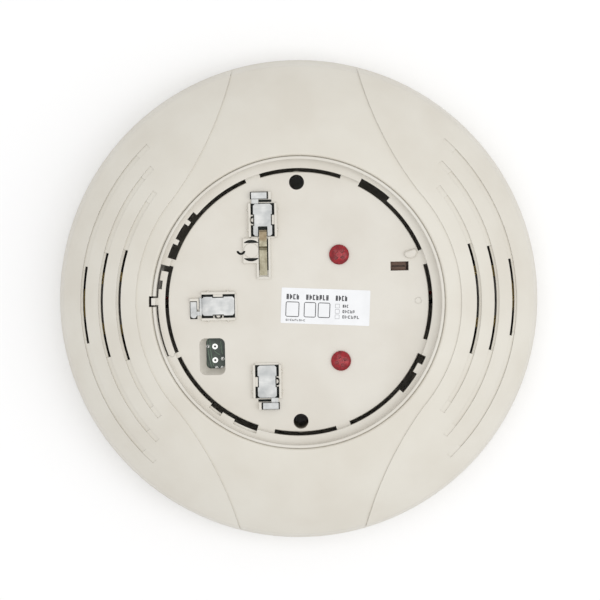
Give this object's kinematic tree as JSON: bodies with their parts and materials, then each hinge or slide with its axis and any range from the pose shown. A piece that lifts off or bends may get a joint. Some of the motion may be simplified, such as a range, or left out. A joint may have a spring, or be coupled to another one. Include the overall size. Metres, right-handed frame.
{
  "type": "fire detector sounder base",
  "caption": "Round ivory sounder base for a ceiling fire detector, with curved sound slits, a recessed bayonet socket, sprung contacts and a locking latch.",
  "frame": {"origin": "centre of the flat rear face, where the base meets the ceiling or back box", "axes": "+Z out of the face towards the detector head, +Y towards the upper mounting hole, +X to the right seen from the front"},
  "size_m": [0.182, 0.182, 0.042],
  "materials": {
    "ivory_cover": "fine matt moulding",
    "ivory_socket": "fine matt moulding",
    "ivory_rear": "matt moulding",
    "contact_metal": "plated spring metal, dull",
    "spring_bronze": "tarnished phosphor bronze",
    "red_screw": "red dyed zinc, satin",
    "label_paper": "matt printed label",
    "board_green": "solder resist, satin",
    "solder": "bright solder",
    "connector_brown": "satin moulding",
    "chip_black": "moulded epoxy",
    "black_plastic": "matt moulding",
    "terminal_plastic": "satin moulding",
    "terminal_brass": "plain",
    "steel_screw": "bright zinc",
    "capacitor_can": "sleeved can",
    "transformer_tape": "polyester tape",
    "piezo_brass": "thin sheet",
    "piezo_ceramic": "fired, silvered",
    "lead_red": "insulation",
    "lead_black": "insulation"
  },
  "bodies": {
    "base": {"address_label": "label_paper", "chip_parts": "chip_black", "contact_terminal_bottom": "contact_metal", "contact_terminal_left": "contact_metal", "contact_terminal_top": "contact_metal", "cover_screws": "steel_screw", "driver_transistors": "chip_black", "electrolytic_capacitors": "capacitor_can", "fixing_screws": "red_screw", "front_cover": "ivory_cover", "interface_chip": "chip_black", "link_pads": "solder", "main_pcb": "board_green", "microcontroller": "chip_black", "pcb_screws": "steel_screw", "piezo_ceramic_left": "piezo_ceramic", "piezo_ceramic_right": "piezo_ceramic", "piezo_disc_left": "piezo_brass", "piezo_disc_right": "piezo_brass", "piezo_lead_black": "lead_black", "piezo_lead_red": "lead_red", "rear_cover": "ivory_rear", "service_connector": "connector_brown", "socket_plate": "ivory_socket", "sounder_cup_left": "black_plastic", "sounder_cup_right": "black_plastic", "sounder_transformer": "transformer_tape", "terminal_block": "terminal_plastic", "terminal_clamps": "terminal_brass", "terminal_screws": "steel_screw"},
    "latch": {"locking_latch": "ivory_socket"},
    "contact_top": {"contact_leaf_top": "contact_metal"},
    "contact_left": {"contact_leaf_left": "contact_metal"},
    "contact_bottom": {"contact_leaf_bottom": "contact_metal"},
    "shorting_spring": {"supervision_spring": "spring_bronze"}
  },
  "joints": [
    {"name": "latch_flex", "type": "hinge", "parent": "base", "child": "latch", "pos_m": [-0.04737, -0.01856, 0.0375], "axis": [0, 0, 1], "range_deg": [-1.8, 1], "stiffness_Nm_per_rad": 1.5},
    {"name": "contact_top_flex", "type": "hinge", "parent": "base", "child": "contact_top", "pos_m": [-0.01285, 0.0367, 0.0368], "axis": [1, 0, 0], "range_deg": [0, 7], "stiffness_Nm_per_rad": 0.3},
    {"name": "contact_left_flex", "type": "hinge", "parent": "base", "child": "contact_left", "pos_m": [-0.03595, -0.001, 0.0368], "axis": [0, 1, 0], "range_deg": [0, 7], "stiffness_Nm_per_rad": 0.3},
    {"name": "contact_bottom_flex", "type": "hinge", "parent": "base", "child": "contact_bottom", "pos_m": [-0.0123, -0.0354, 0.0368], "axis": [-1, 0, 0], "range_deg": [0, 7], "stiffness_Nm_per_rad": 0.3},
    {"name": "shorting_spring_lift", "type": "hinge", "parent": "base", "child": "shorting_spring", "pos_m": [-0.01285, 0.0106, 0.0363], "axis": [1, 0, 0], "range_deg": [0, 3.5], "stiffness_Nm_per_rad": 0.2}
  ]
}
